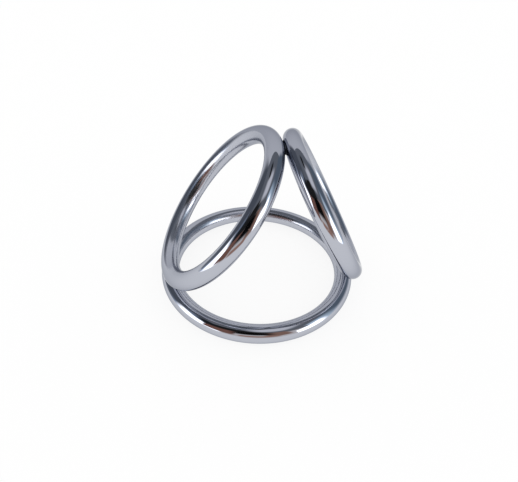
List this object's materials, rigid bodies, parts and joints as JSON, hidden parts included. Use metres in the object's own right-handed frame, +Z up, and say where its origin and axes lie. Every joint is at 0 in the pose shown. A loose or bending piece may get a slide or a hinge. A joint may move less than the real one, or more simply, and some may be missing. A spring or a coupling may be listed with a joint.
{
  "type": "welded ring frame",
  "caption": "Chrome-plated bar frame: a flat base ring with smaller rings standing on its ends, leaning together and welded at the crown.",
  "frame": {"origin": "centre of the base ring, on the surface that it rests on", "axes": "+Z up; +X from the left ring's foot to the right ring's foot; +Y to the rear"},
  "size_m": [0.0632, 0.062, 0.0489],
  "materials": {
    "plated_bar": "bright polished plating",
    "plated_weld": "bright plating over dressed weld"
  },
  "bodies": {
    "root": {"base_ring": "plated_bar", "left_ring": "plated_bar", "right_ring": "plated_bar", "base_butt_weld": "plated_weld", "left_butt_weld": "plated_weld", "right_butt_weld": "plated_weld", "left_joint_weld": "plated_weld", "right_joint_weld": "plated_weld", "crown_joint_weld": "plated_weld"}
  },
  "joints": []
}
